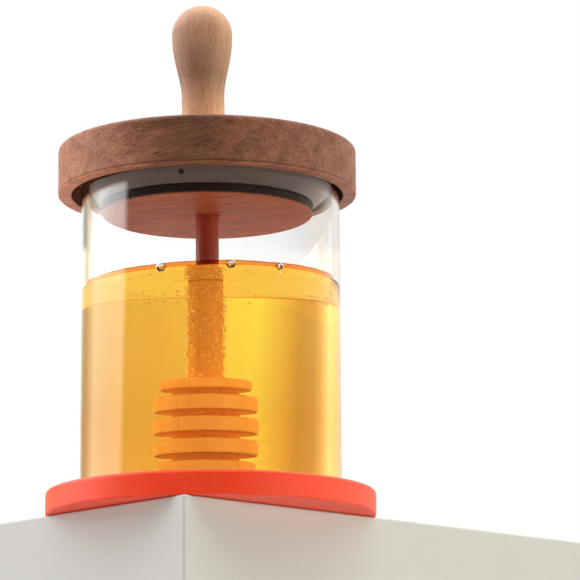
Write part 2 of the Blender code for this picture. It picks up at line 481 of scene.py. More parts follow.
def object_from(shape, name, *materials):
    mesh = mesh_from(shape, name)
    for material in materials:
        mesh.materials.append(material)
    thing = bpy.data.objects.new(name, mesh)
    bpy.context.scene.collection.objects.link(thing)
    return thing


def piece_from(shape, name, materials, replaced, sharp=50):
    """Makes the object, shades it smooth and ties it to the frame."""
    piece = object_from(shape, name, *materials)
    piece.data.shade_smooth()
    piece.data.set_sharp_from_angle(angle=math.radians(sharp))
    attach(piece, "root")
    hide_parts(replaced)
    print(f"{name}: {len(piece.data.vertices)} vertices, {len(piece.data.polygons)} faces")
    return piece


# %% [markdown]
# ## The plinth
#
# We show the pot on the corner of a high, pale plinth, its tray reaching a little over two edges.
# The plinth is only a stage, a bevelled cube. The camera looks up from below its top, so a floor at
# the tray's height would hide the pot. Our floor is a disc far below, which throws soft light up at
# the lid's underside. It is round because a square one's corners would show in the glass.

# %% A pale plinth and a floor far below
PLINTH_CORNER = Vector((-8.4 * MM, -55.7 * MM))
PLINTH_TURN = math.radians(42)
PLINTH_SIDE = 420 * MM
PLINTH_HEIGHT = 350 * MM
PLINTH_BEVEL = 0.8 * MM
PLINTH_GAP = 0.1 * MM
PLINTH_COLOUR = (0.58, 0.58, 0.57)
FLOOR_RADIUS = 1.75
FLOOR_COLOUR = (0.44, 0.44, 0.43)


def matte(name, colour):
    material, recipe, place = new_material(name)
    mottle = recipe.noise(place, 30.0, detail=4.0)
    shade = recipe.mix(mottle, [channel * 0.97 for channel in colour], colour)
    finish_material(recipe, {"Base Color": shade, "Roughness": 0.8, "Specular IOR Level": 0.3})
    return material


shape = bmesh.new()
bmesh.ops.create_cube(shape, size=1.0)
bmesh.ops.scale(shape, vec=(PLINTH_SIDE, PLINTH_SIDE, PLINTH_HEIGHT), verts=shape.verts)
middle = (PLINTH_SIDE / 2, PLINTH_SIDE / 2, -PLINTH_HEIGHT / 2 - PLINTH_GAP)
bmesh.ops.translate(shape, vec=middle, verts=shape.verts)
bmesh.ops.bevel(shape, geom=shape.edges[:], offset=PLINTH_BEVEL, segments=3, profile=0.5,
                affect="EDGES", material=-1)
bmesh.ops.rotate(shape, cent=(0, 0, 0), matrix=Matrix.Rotation(PLINTH_TURN, 3, "Z"),
                 verts=shape.verts)
bmesh.ops.translate(shape, vec=(*PLINTH_CORNER, 0), verts=shape.verts)
plinth = object_from(shape, "plinth", matte("pale_plinth", PLINTH_COLOUR))

shape = bmesh.new()
bmesh.ops.create_circle(shape, cap_ends=True, segments=96, radius=FLOOR_RADIUS)
bmesh.ops.translate(shape, vec=(0, 0, -PLINTH_HEIGHT), verts=shape.verts)
floor = object_from(shape, "floor", matte("pale_floor", FLOOR_COLOUR))
print(f"the plinth is {PLINTH_SIDE / MM:.0f} mm wide and {PLINTH_HEIGHT / MM:.0f} mm high")

# %% [markdown]
# ## The silicone tray
#
# The tray is a shallow dish of moulded rubber that holds the foot of the glass and catches drips. A
# bevelled cylinder would do for its outside, but one turned outline gives the recess and both lips
# as well. Moulded rubber has a soft satin skin with the faintest mottling and no grain. Its colour
# is strong, because light enters the rubber a little before it comes back out.

# %% The tray's rubber
TRAY_SHADES = ((0.87, 0.049, 0.013), (0.95, 0.063, 0.017))


def red_silicone():
    material, recipe, place = new_material("red_silicone")
    mottle = recipe.noise(place, 160.0, detail=4.0)
    skin = recipe.noise(place, 2600.0, detail=2.0)
    finish_material(recipe, {
        "Base Color": recipe.mix(mottle, *TRAY_SHADES), "Roughness": mottle * 0.1 + 0.36,
        "Specular IOR Level": 0.3, "Normal": recipe.relief(skin, 0.08, 0.2 * MM)})
    return material


# %% The tray
LATHE_STEPS = 160
TRAY_RADIUS = 54.2 * MM
TRAY_HEIGHT = 8.0 * MM
TRAY_FLOOR = 3.0 * MM
TRAY_RECESS = 43.6 * MM
TRAY_LIP = 1.2 * MM

corners = [
    (0.0, TRAY_FLOOR, 0.0),
    (TRAY_RECESS, TRAY_FLOOR, 0.5 * MM),
    (TRAY_RECESS, TRAY_HEIGHT, TRAY_LIP),
    (TRAY_RADIUS, TRAY_HEIGHT, TRAY_LIP),
    (TRAY_RADIUS, 0.0, 0.6 * MM),
    (0.0, 0.0, 0.0),
]
piece_from(turned(rounded(corners), LATHE_STEPS), "tray", [red_silicone()], "silicone_tray")

# %% [markdown]
# ## The glass
#
# The pot is a straight cylinder with a flat floor and a fire-polished rim. A single skin with a
# Solidify modifier would give every part one thickness. We turn the whole wall, inside and outside,
# because light bends once on each face and the floor is thicker than the wall. A fine waviness in
# the normal keeps its reflections from looking ruled. Where honey wets the glass, that face stops
# reflecting, because honey and glass bend light by nearly the same amount, so those faces get a
# second material. Just above the honey the glass wears a thin film of it, darkest along its upper
# edge. Its orange band is partly that film and partly a painted reflection of the lit honey below,
# which the honey's curved edge mirrors. So thin a film needs no mesh of its own: film and painted
# reflection are a tint in the glass.

# %% The glass's measures
GLASS_RADIUS = 43.0 * MM
GLASS_WALL = 2.2 * MM
GLASS_INSIDE = GLASS_RADIUS - GLASS_WALL
GLASS_FOOT_Z = 3.3 * MM
GLASS_FLOOR_Z = 6.3 * MM
GLASS_RIM_Z = 114.2 * MM
GLASS_STEPS = 256
HONEY_LEVEL = 75.5 * MM
HONEY_TILT = 0.022
# Three bubbles have come to rest at the glass: angle seen from above, and radius in mm.
RIM_BUBBLES = ((-113.1, 1.45), (-80.8, 1.45), (-57.2, 1.15))
print(f"the glass holds honey for {(HONEY_LEVEL - GLASS_FLOOR_Z) / MM:.1f} mm above its floor")

# %% The film of honey on the glass, partly a painted reflection
FILM_TOP = 77.3 * MM
FILM_UNEVEN = 0.8 * MM
FILM_TOP_EDGE = 0.15 * MM
FILM_FOOT_EDGE = (HONEY_LEVEL + 0.14 * MM, HONEY_LEVEL + 0.24 * MM)
FILM_LINE = 0.5 * MM
# The band's colours: partly a real honey film, partly a painted reflection of the lit honey below.
FILM_AND_REFLECTION_COLOUR = (0.80, 0.085, 0.002)
FILM_TOP_AND_REFLECTION_COLOUR = (0.42, 0.035, 0.001)
# A bubble keeps the film off the glass: how high its touch lies, and its soft edge in radii.
BUBBLE_TOUCH_RISE = 0.4 * MM
BUBBLE_TOUCH_EDGE = (0.90, 1.05)


def film_and_painted_reflection(recipe, place):
    """The tint of the glass: a honey film and a painted reflection of the honey below it, and white
    elsewhere.
    """
    x, radius, height = recipe.round_axis(place)
    inside = 1 - recipe.ease(radius, GLASS_INSIDE + 0.2 * MM, GLASS_INSIDE + 0.4 * MM)
    uneven = recipe.noise(place, 90.0, detail=2.0)
    level = height - x * HONEY_TILT
    under_top = FILM_TOP - level + (uneven - 0.5) * FILM_UNEVEN
    film = recipe.ease(under_top, 0.0, FILM_TOP_EDGE) * recipe.ease(level, *FILM_FOOT_EDGE)
    for degrees, bubble_radius in RIM_BUBBLES:
        angle = math.radians(degrees)
        touch_x = GLASS_INSIDE * math.cos(angle)
        touch = (touch_x, GLASS_INSIDE * math.sin(angle),
                 HONEY_LEVEL + HONEY_TILT * touch_x + BUBBLE_TOUCH_RISE)
        away = recipe.add("ShaderNodeVectorMath", {"operation": "DISTANCE"},
                          {0: place, 1: touch}, output=1)
        edge = [share * bubble_radius * MM for share in BUBBLE_TOUCH_EDGE]
        film = film * recipe.ease(away, *edge)
    line = 1 - recipe.ease(under_top, FILM_LINE * 0.6, FILM_LINE * 1.4)
    # The orange band is partly film and partly painted reflection.
    film_and_reflection = recipe.mix(line, FILM_AND_REFLECTION_COLOUR, FILM_TOP_AND_REFLECTION_COLOUR)
    return recipe.mix(film * inside, (1.0, 1.0, 1.0), film_and_reflection)


# %% The glass
def clear_glass(name, specular):
    material, recipe, place = new_material(name)
    waves = recipe.noise(recipe.stretch(place, (1, 1, 0.4)), 28.0, detail=1.0)
    finish_material(recipe, {
        "Base Color": film_and_painted_reflection(recipe, place), "Roughness": 0.0, "IOR": 1.5,
        "Specular IOR Level": specular, "Transmission Weight": 1.0,
        "Normal": recipe.relief(waves, 0.12, 0.4 * MM)})
    return material


corners = [
    (0.0, GLASS_FLOOR_Z, 0.0),
    (GLASS_INSIDE, GLASS_FLOOR_Z, 2.0 * MM),
    (GLASS_INSIDE, HONEY_LEVEL, 0.0),
    (GLASS_INSIDE, GLASS_RIM_Z, 0.9 * MM),
    (GLASS_RADIUS, GLASS_RIM_Z, 0.9 * MM),
    (GLASS_RADIUS, GLASS_FOOT_Z, 2.5 * MM),
    (0.0, GLASS_FOOT_Z, 0.0),
]
shape = turned(rounded(corners), GLASS_STEPS)
for vertex in shape.verts:
    if abs(vertex.co.z - HONEY_LEVEL) < 0.01 * MM:
        vertex.co.z += HONEY_TILT * vertex.co.x
wet = 0
for face in shape.faces:
    centre = face.calc_center_median()
    inside = centre.xy.length < GLASS_INSIDE
    if inside and GLASS_FLOOR_Z - 0.1 * MM < centre.z < HONEY_LEVEL:
        face.material_index = 1
        wet += 1
print(f"{wet} faces of the glass touch the honey")
piece_from(shape, "glass", [clear_glass("clear_glass", 0.5), clear_glass("wetted_glass", 0.0)],
           "glass_jar", sharp=80)

# %% [markdown]
# ## The honey
#
# Honey is clear, so its colour comes from depth: each millimetre takes out some blue and a little
# green. That is a Volume Absorption, not a painted surface. A simulation of liquid could fill the
# glass, but honey at rest is only a turned body whose top we lift to the height that one function
# gives. It reaches just into the glass wall, because even a hair of air between honey and glass
# would mirror like silver. Its surface climbs the wall and the dipper's rod, and the pot was
# carried about, so it isn't quite level.

# %% The honey's colour
HONEY_COLOUR = (0.989, 0.790, 0.023)
HONEY_DENSITY = 34.5


def clear_honey():
    material, recipe, _ = new_material("clear_honey")
    depth = recipe.add("ShaderNodeVolumeAbsorption", {}, {
        "Color": (*HONEY_COLOUR, 1.0), "Density": HONEY_DENSITY})
    finish_material(recipe, {
        "Base Color": (1.0, 1.0, 1.0, 1.0), "Roughness": 0.0, "IOR": 1.49,
        "Specular IOR Level": 0.0, "Transmission Weight": 1.0}, volume=depth)
    return material


# %% The honey's surface
HONEY_REACH = 0.15 * MM
HONEY_RADIUS = GLASS_INSIDE + HONEY_REACH
HONEY_FLOOR_Z = GLASS_FLOOR_Z - HONEY_REACH
HONEY_CLIMB = 0.3 * MM
HONEY_CLIMB_WIDTH = 3.0 * MM
HONEY_WAVE = 0.15 * MM
ROD_X = -1.1 * MM
ROD_RADIUS = 3.85 * MM
ROD_CLIMB = 0.7 * MM
ROD_CLIMB_WIDTH = 1.5 * MM
RIM_BUBBLE_SKIN = 0.08 * MM
RIM_BUBBLE_RISE = 0.25 * MM
RIM_BUBBLE_GAP = 0.05 * MM
MOUND_WIDTH = 2.4 * MM
MOUND_SHARE = 0.35


def rim_bubbles():
    """Place and radius of each bubble at the glass."""
    found = []
    for degrees, radius in RIM_BUBBLES:
        radius *= MM
        angle = math.radians(degrees)
        away = GLASS_INSIDE - radius - RIM_BUBBLE_GAP
        x, y = away * math.cos(angle), away * math.sin(angle)
        found.append((x, y, still_surface(x, y) + RIM_BUBBLE_RISE, radius))
    return found


def still_surface(x, y):
    """Height of the honey away from its bubbles, with its climb up the glass and up the rod."""
    radius = math.hypot(x, y)
    angle = math.atan2(y, x)
    from_rod = max(0.0, math.hypot(x - ROD_X, y) - ROD_RADIUS)
    from_wall = max(0.0, GLASS_INSIDE - radius)
    at_wall = math.exp(-from_wall / HONEY_CLIMB_WIDTH)
    wave = noise.noise(Vector((3 * math.cos(angle), 3 * math.sin(angle), 0.3)))
    wave += 0.5 * noise.noise(Vector((9 * math.cos(angle), 9 * math.sin(angle), 1.7)))
    climb = (HONEY_CLIMB + HONEY_WAVE * wave) * at_wall
    climb += ROD_CLIMB * math.exp(-from_rod / ROD_CLIMB_WIDTH)
    return HONEY_LEVEL + HONEY_TILT * x + climb


def honey_surface(x, y):
    """Height of the honey, with a thin dome and a mound over each bubble at the glass."""
    height = still_surface(x, y)
    for bubble_x, bubble_y, bubble_z, radius in RIM_BUBBLE_PLACES:
        apart = math.hypot(x - bubble_x, y - bubble_y)
        outer = radius + RIM_BUBBLE_SKIN
        height += MOUND_SHARE * radius * math.exp(-((apart / MOUND_WIDTH) ** 2))
        if apart < outer:
            height = max(height, bubble_z + math.sqrt(outer ** 2 - apart ** 2))
    return height


RIM_BUBBLE_PLACES = rim_bubbles()
for x, y, z, radius in RIM_BUBBLE_PLACES:
    print(f"a bubble of {2 * radius / MM:.1f} mm at the glass, {z / MM:.1f} mm up")

# %% The honey's body
# The outline's rings are close at the rod and at the wall, where the surface bends most.
FINE_HALF_ANGLE = 4.5
FINE_STEPS = 36

rings = [0.0]
rings += [2 * MM + 0.8 * MM * step for step in range(12)]
rings += [12 * MM + 2 * MM * step for step in range(13)]
rings += [GLASS_INSIDE - 4.2 * MM + 0.2 * MM * step for step in range(22)]
rings += [HONEY_RADIUS]
points = [Vector((radius, HONEY_LEVEL)) for radius in rings]
wall = [
    (HONEY_RADIUS, HONEY_LEVEL, 0.0),
    (HONEY_RADIUS, HONEY_FLOOR_Z, 2.0 * MM),
    (0.0, HONEY_FLOOR_Z, 0.0),
]
points.append(Vector((HONEY_RADIUS, HONEY_LEVEL - 2.0 * MM)))
points += rounded(wall)[1:]
around = [math.degrees(math.atan2(y, x)) % 360 for x, y, z, radius in RIM_BUBBLE_PLACES]
fine = [(angle - FINE_HALF_ANGLE, angle + FINE_HALF_ANGLE) for angle in around]
shape = turned(points, GLASS_STEPS, fine_at=fine, fine_steps=FINE_STEPS)
for vertex in shape.verts:
    if vertex.co.z > HONEY_LEVEL - 0.01 * MM:
        vertex.co.z = honey_surface(vertex.co.x, vertex.co.y)
print(f"honey surface: {len(shape.verts)} vertices")

# %% [markdown]
# ## Air bubbles
#
# Air bubbles in honey rise for days. Each is a hollow in the honey, so its wall belongs to the
# honey's own mesh, facing into the air inside. Glass beads strewn by a particle system would look
# solid. We seed a swarm of fine ones on the rod, where stirring beats air in, a thin scatter
# elsewhere, and a few just under the surface. There are hundreds, so each is a copy of one small
# ball with 48 faces. Only the few large ones are round to the eye.

# %% Two kinds of bubble
def add_bubble(shape, place, radius):
    bubble = small_ball.copy()
    bubble.transform(Matrix.Translation(place) @ Matrix.Scale(radius, 4))
    shape.from_mesh(bubble)
    bpy.data.meshes.remove(bubble)


def add_large_bubble(shape, place, radius):
    bmesh.ops.create_icosphere(shape, subdivisions=4, radius=radius,
                               matrix=Matrix.Translation(place))


ball = bmesh.new()
bmesh.ops.create_uvsphere(ball, u_segments=8, v_segments=6, radius=1.0)
small_ball = mesh_from(ball, "small_ball")
hollows = bmesh.new()
for x, y, z, radius in RIM_BUBBLE_PLACES:
    add_large_bubble(hollows, (x, y, z), radius)
add_large_bubble(hollows, (ROD_X - 1.6 * MM, -8.4 * MM, 31.4 * MM), 0.45 * MM)
print(f"the small ball has {len(small_ball.polygons)} faces")

# %% The swarm, the scatter and the surface bubbles
BUBBLE_SEED = 7
ROD_BUBBLES = 1100
SCATTER_COUNT = 150
SURFACE_COUNT = 100
SWARM_TOP_Z = HONEY_LEVEL - 1.2 * MM
SWARM_DEPTH = 31 * MM
SCATTER_REACH = 39.5 * MM
DIPPER_REACH = 12.5 * MM


def from_axis(angle, away, high, axis_x=0.0):
    return axis_x + away * math.cos(angle), away * math.sin(angle), high


draw = random.Random(BUBBLE_SEED)
for index in range(ROD_BUBBLES):
    angle = draw.uniform(0, math.tau)
    radius = (0.08 + 0.27 * draw.random() ** 2) * MM
    away = ROD_RADIUS + radius + 0.04 * MM + abs(draw.gauss(0, 0.2 * MM))
    high = SWARM_TOP_Z - SWARM_DEPTH * draw.random() ** 1.3
    add_bubble(hollows, from_axis(angle, away, high, ROD_X), radius)
for index in range(SCATTER_COUNT):
    angle = draw.uniform(0, math.tau)
    away = SCATTER_REACH * math.sqrt(draw.random())
    if math.hypot(away * math.cos(angle) - ROD_X, away * math.sin(angle)) < DIPPER_REACH:
        continue
    high = draw.uniform(12 * MM, HONEY_LEVEL - 1.5 * MM)
    radius = draw.uniform(0.07, 0.17) * MM
    add_bubble(hollows, from_axis(angle, away, high), radius)
for index in range(SURFACE_COUNT):
    angle = draw.uniform(0, math.tau)
    away = draw.uniform(33, 40.2) * MM
    radius = draw.uniform(0.10, 0.26) * MM
    high = HONEY_LEVEL + HONEY_TILT * away * math.cos(angle) - radius - draw.uniform(0.3, 2) * MM
    add_bubble(hollows, from_axis(angle, away, high), radius)
bmesh.ops.reverse_faces(hollows, faces=hollows.faces)
hollow_mesh = mesh_from(hollows, "hollows")
shape.from_mesh(hollow_mesh)
bpy.data.meshes.remove(hollow_mesh)
bpy.data.meshes.remove(small_ball)
piece_from(shape, "honey_fill", [clear_honey()], "honey", sharp=80)

# %% [markdown]
# ## Wood
#
# All wood is fibres round growth rings. A picture of a board, wrapped round the lid, would stretch
# its grain over every edge. We build one recipe in the board's own space instead: rings are the
# distance from the tree's middle line, fibres are noise drawn out along the grain, and pores are
# short dark dashes. Because the pattern is solid, a turned piece shows long grain on one side and
# pores end-on where the cut crosses the fibres, as real turned wood does.

# %% One recipe for three woods
def wood(name, colours, along, middle, ring, contrast, fineness, pores, gloss, shine=0.2,
         turn=(0, 0, 0), tint=None, glow=None):
    """colours are dark, light, pore and fleck. along is the grain's axis, middle a point on the
    tree's middle line, ring the spacing of growth rings, contrast how much each of the rings,
    fibres, streaks and clouds shows, fineness the fibres to a metre and pores how dark pores
    are. gloss is the roughness and shine the strength of its reflections."""
    dark, light, pore_colour, fleck_colour = colours
    material, recipe, place = new_material(name)
    lay = {"X": turn, "Z": (turn[0], turn[1] + math.pi / 2, turn[2])}[along]
    board = recipe.stretch(place, (1, 1, 1), place=[-value for value in middle], turn=lay)

    def drawn_out(share, scale, detail, roughness=0.5, place=(0, 0, 0)):
        """Noise that is 1 / share times as long down the grain as across it."""
        return recipe.noise(recipe.stretch(board, (share, 1, 1), place), scale, detail, roughness)

    _, across, up = recipe.parts(board)
    distance = (across * across + up * up) ** 0.5 + drawn_out(0.3, 35.0, 2.0) * (ring * 1.6)
    saw = (distance / ring).math("FRACT")
    late = recipe.ease(saw, 0.25, 0.95) * (1 - recipe.ease(saw, 0.93, 1.0))
    fibres = drawn_out(0.06, fineness, 3.0, roughness=0.7)
    streaks = drawn_out(0.06, fineness / 5, 4.0)
    clouds = drawn_out(0.5, 42.0, 2.0)
    rings_share, fibres_share, streaks_share, clouds_share = contrast
    shade = (late - 0.4) * rings_share + (fibres - 0.5) * fibres_share
    shade = shade + (streaks - 0.5) * streaks_share + (clouds - 0.5) * clouds_share + 0.5
    colour = recipe.mix(shade.math("ADD", 0.0, clamp=True), light, dark)
    pore = recipe.ease(drawn_out(0.09, fineness * 0.9, 2.0), 0.56, 0.74) * pores
    colour = recipe.mix(pore, colour, pore_colour)
    flecks = drawn_out(0.22, fineness, 1.0, place=(3, 1, 2))
    fleck = recipe.ease(flecks, 0.60, 0.80) * pores * 0.5
    colour = recipe.mix(fleck, colour, fleck_colour)
    if tint:
        colour = tint(recipe, place, colour)
    sockets = {
        "Base Color": colour, "Roughness": gloss + fibres * 0.12 + pore * 0.2,
        "Specular IOR Level": shine,
        "Normal": recipe.relief(fibres * 0.5 - pore * 0.8, 0.6, 0.2 * MM)}
    if glow:
        sockets["Emission Color"] = glow(recipe, place, colour)
        sockets["Emission Strength"] = 1.0
    finish_material(recipe, sockets)
    return material


def toned(recipe, colour, along, tones, full):
    """Multiplies a colour by a row of tones. The ramp holds them as shares of full."""
    stops = [(place, [tone / full] * 3) for place, tone in tones]
    return recipe.times(recipe.times(colour, recipe.ramp(along, stops)), (full, full, full))


# %% [markdown]
# ## The lid
#
# The lid is a disc of dark wood with a skirt that reaches down outside the glass and a plug that
# reaches down inside it. A real one is turned from one board, and so is ours, in one spin of one
# outline, where cylinders joined by Booleans would leave ragged seams. Its grain runs across the
# pot. It was laid on by hand, so it sits about a millimetre to the left.

# %% The lid's measures
LID_X = -1.1 * MM
LID_RADIUS = 49.7 * MM
LID_TOP_Z = 123.5 * MM
LID_SKIRT_Z = 107.5 * MM
LID_SKIRT_INSIDE = 45.2 * MM
LID_CEILING_Z = GLASS_RIM_Z + 0.3 * MM
PLUG_RADIUS = 35.2 * MM
PLUG_BOTTOM_Z = 100.7 * MM
PLUG_FLANGE_Z = 103.8 * MM
PLUG_NECK = 33.0 * MM
SOCKET_DEPTH = 7.5 * MM
SOCKET_RADIUS = ROD_RADIUS + 0.25 * MM
print(f"the skirt reaches {(GLASS_RIM_Z - LID_SKIRT_Z) / MM:.1f} mm below the rim of the glass")

# %% Light and shade painted on the lid, and a darker line
# A darker line just above the skirt's lower edge.
SKIRT_LINE_DARKENING = (0.40, 0.30, 0.25)
# Painted light on the skirt's bottom edge, as light from below catches it.
PAINTED_RIM_LIGHT = (1.9, 1.6, 1.4)
# Painted shade on the plug's side, which faces the dark front.
PLUG_SIDE_PAINTED_SHADE = (0.08, 0.07, 0.06)
# Painted orange light on the plug's face, as if the honey below lit it: a multiplier and a colour
# mixed in.
PLUG_FACE_PAINTED_LIGHT = (2.38, 1.36, 0.80)
PLUG_FACE_PAINTED_GLOW = (0.95, 0.23, 0.080)
# Painted light and shade along the board, from left to right: lighter at the left end and darker
# in the middle. The plug keeps its own.
BOARD_PAINTED_SHADING = ((0.00, 1.38), (0.20, 1.05), (0.36, 0.66), (0.50, 0.58), (0.62, 0.76),
               (0.80, 0.73), (1.00, 0.80))
PAINTED_SHADING_FROM_RADIUS = (36 * MM, 42 * MM)


def lid_tint(recipe, place, colour):
    """Painted light and shade along the board, a darker line above the skirt's lower edge, painted
    light on the skirt's bottom edge, painted shade on the plug's side and painted orange light on
    its face, as if the honey below lit it."""
    x, radius, height = recipe.round_axis(place, LID_X)
    wander = recipe.noise(place, 30.0, detail=2.0) * 0.12 - 0.06
    # Painted light and shade: the board lighter at its left end and darker in the middle.
    painted_board_shading = toned(recipe, colour, x / (2 * LID_RADIUS) + 0.5 + wander, BOARD_PAINTED_SHADING, full=3)
    colour = recipe.mix(recipe.ease(radius, *PAINTED_SHADING_FROM_RADIUS), colour, painted_board_shading)
    # Darkens a thin line just above the skirt's lower edge.
    line = recipe.ease(height, LID_SKIRT_Z + 0.5 * MM, LID_SKIRT_Z + 0.7 * MM)
    line = line * (1 - recipe.ease(height, LID_SKIRT_Z + 0.8 * MM, LID_SKIRT_Z + 1.5 * MM))
    colour = recipe.mix(line * 0.7, colour, recipe.times(colour, SKIRT_LINE_DARKENING))
    # Painted light: the skirt's bottom edge made lighter.
    rim_light = 1 - recipe.ease(height, LID_SKIRT_Z + 0.3 * MM, LID_SKIRT_Z + 0.5 * MM)
    rim_light = rim_light * recipe.ease(radius, LID_SKIRT_INSIDE - 1 * MM, LID_SKIRT_INSIDE)
    colour = recipe.mix(rim_light * 0.6, colour, recipe.times(colour, PAINTED_RIM_LIGHT))
    # Painted shade on the plug's side wall.
    side = recipe.ease(radius, PLUG_RADIUS - 0.3 * MM, PLUG_RADIUS - 0.1 * MM)
    side = side * (1 - recipe.ease(radius, PLUG_RADIUS + 1 * MM, PLUG_RADIUS + 2 * MM))
    side = side * recipe.ease(height, PLUG_BOTTOM_Z + 0.2 * MM, PLUG_BOTTOM_Z + 0.9 * MM)
    side = side * (1 - recipe.ease(height, PLUG_FLANGE_Z, PLUG_FLANGE_Z + 1 * MM))
    colour = recipe.mix(side, colour, recipe.times(colour, PLUG_SIDE_PAINTED_SHADE))
    # Painted orange light on the plug's face.
    face = 1 - recipe.ease(height, PLUG_BOTTOM_Z + 0.1 * MM, PLUG_BOTTOM_Z + 0.4 * MM)
    painted_honey_light = recipe.mix(0.3, recipe.times(colour, PLUG_FACE_PAINTED_LIGHT), PLUG_FACE_PAINTED_GLOW)
    return recipe.mix(face, colour, painted_honey_light)


# %% The lid
walnut = wood("walnut", colours=((0.140, 0.046, 0.024), (0.41, 0.170, 0.095),
                                 (0.06, 0.018, 0.009), (0.60, 0.31, 0.19)),
              along="X", middle=(0.0, 0.030, 0.055), ring=9 * MM,
              contrast=(0.2, 1.5, 1.2, 0.6), fineness=2200.0, pores=0.8, gloss=0.45,
              turn=(0, math.radians(9), math.radians(14)), tint=lid_tint)
corners = [
    (0.0, LID_TOP_Z, 0.0),
    (LID_RADIUS, LID_TOP_Z, 1.5 * MM),
    (LID_RADIUS, LID_SKIRT_Z, 0.5 * MM),
    (LID_SKIRT_INSIDE, LID_SKIRT_Z, 0.5 * MM),
    (LID_SKIRT_INSIDE, LID_CEILING_Z, 0.4 * MM),
    (PLUG_NECK, LID_CEILING_Z, 0.4 * MM),
    (PLUG_NECK, PLUG_FLANGE_Z, 0.0),
    (PLUG_RADIUS, PLUG_FLANGE_Z, 0.4 * MM),
    (PLUG_RADIUS, PLUG_BOTTOM_Z, 0.4 * MM),
    (SOCKET_RADIUS, PLUG_BOTTOM_Z, 0.2 * MM),
    (SOCKET_RADIUS, PLUG_BOTTOM_Z + SOCKET_DEPTH, 0.0),
    (0.0, PLUG_BOTTOM_Z + SOCKET_DEPTH, 0.0),
]
shape = turned(rounded(corners), LATHE_STEPS)
bmesh.ops.translate(shape, vec=(LID_X, 0, 0), verts=shape.verts)
piece_from(shape, "lid_wood", [walnut], "lid")

# %% [markdown]
# ## The seal
#
# A soft silicone lip flares up from the plug and presses on the inside of the glass. We spin its
# section as a closed loop. Its ring follows the lid and its edge follows the glass, so between them
# the lip leans a little, and we slide each vertex sideways by its share. A pin hole lets air out
# when the lid goes on. It is cut by a Boolean, because it crosses the lip at a slant, where no edge
# of the spun mesh runs.

# %% The seal's rubber
SEAL_SHADES = ((0.15, 0.098, 0.088), (0.25, 0.180, 0.168))


def grey_silicone():
    material, recipe, place = new_material("grey_silicone")
    rings = recipe.noise(recipe.stretch(place, (1, 1, 60)), 25.0, detail=3.0)
    cloud = recipe.noise(place, 90.0, detail=2.0)
    finish_material(recipe, {
        "Base Color": recipe.mix(rings * 0.6 + cloud * 0.4, *SEAL_SHADES),
        "Roughness": cloud * 0.1 + 0.36, "Specular IOR Level": 0.8,
        "Normal": recipe.relief(rings, 0.2, 0.1 * MM)})
    return material


# %% The seal
SEAL_RING_INSIDE = PLUG_NECK + 0.3 * MM
SEAL_RING_Z = PLUG_FLANGE_Z + 0.3 * MM
SEAL_ROOT = 35.6 * MM
SEAL_TIP = GLASS_INSIDE - 0.2 * MM
SEAL_TIP_Z = 108.8 * MM
SEAL_WALL = 0.8 * MM
SEAL_RING_HEIGHT = 2.2 * MM

corners = [
    (SEAL_RING_INSIDE, SEAL_RING_Z + SEAL_RING_HEIGHT, 0.0),
    (SEAL_ROOT - SEAL_WALL, SEAL_RING_Z + SEAL_RING_HEIGHT, 0.5 * MM),
    (SEAL_TIP - SEAL_WALL, SEAL_TIP_Z + 0.9 * MM, 0.2 * MM),
    (SEAL_TIP, SEAL_TIP_Z, 0.3 * MM),
    (SEAL_ROOT, SEAL_RING_Z, 0.5 * MM),
    (SEAL_RING_INSIDE, SEAL_RING_Z, 0.0),
]
shape = turned(rounded(corners, closed=True), LATHE_STEPS, closed=True)
for vertex in shape.verts:
    radius = math.hypot(vertex.co.x, vertex.co.y)
    outward = max(0.0, (radius - SEAL_ROOT) / (SEAL_TIP - SEAL_ROOT))
    vertex.co.x += LID_X * (1 - outward)
seal = piece_from(shape, "seal_lip", [grey_silicone()], "seal_ring")

# %% Its pin hole
VENT_PLACE = (-9.3 * MM, -37.6 * MM)
VENT_RADIUS = 1.0 * MM
PIN_LENGTH = 8 * MM

vent_out = math.hypot(*VENT_PLACE)
slope = math.atan2(SEAL_TIP_Z - SEAL_RING_Z, SEAL_TIP - SEAL_ROOT)
vent_z = SEAL_RING_Z + (vent_out - SEAL_ROOT) * math.tan(slope)
shape = bmesh.new()
bmesh.ops.create_cone(shape, cap_ends=True, segments=24, radius1=VENT_RADIUS, radius2=VENT_RADIUS,
                      depth=PIN_LENGTH)
bmesh.ops.rotate(shape, cent=(0, 0, 0), matrix=Matrix.Rotation(-slope, 3, "Y"), verts=shape.verts)
bmesh.ops.translate(shape, vec=(vent_out, 0, vent_z), verts=shape.verts)
bmesh.ops.rotate(shape, cent=(0, 0, 0), verts=shape.verts,
                 matrix=Matrix.Rotation(math.atan2(VENT_PLACE[1], VENT_PLACE[0]), 3, "Z"))
pin = object_from(shape, "pin")
vent = seal.modifiers.new("vent", "BOOLEAN")
vent.operation = "DIFFERENCE"
vent.solver = "EXACT"
vent.object = pin
bpy.context.view_layer.update()
cut = seal.evaluated_get(bpy.context.evaluated_depsgraph_get())
pierced = bpy.data.meshes.new_from_object(cut)
print(f"the seal has {len(seal.data.polygons)} faces, and {len(pierced.polygons)} with its vent")
seal.modifiers.clear()
seal.data = pierced
bpy.data.objects.remove(pin)

# %% [markdown]
# ## The knob
#
# The knob is a bulb of pale wood: a ball on top, a slow taper, a waist and a foot that spreads a
# little. A ball and a cone with their joint bevelled would show where one ends, so we write the
# outline as three short curves that meet without a kink, and spin it. The knob leans by less than a
# degree, which the eye still reads as hand-made.

# %% The knob's wood
KNOB_X = -2.2 * MM
KNOB_LEAN = math.radians(-0.85)
KNOB_HEIGHT = 49.8 * MM
KNOB_RADIUS = 10.15 * MM
KNOB_NECK = 7.15 * MM
KNOB_NECK_HEIGHT = 18.0 * MM
KNOB_FOOT = 7.6 * MM
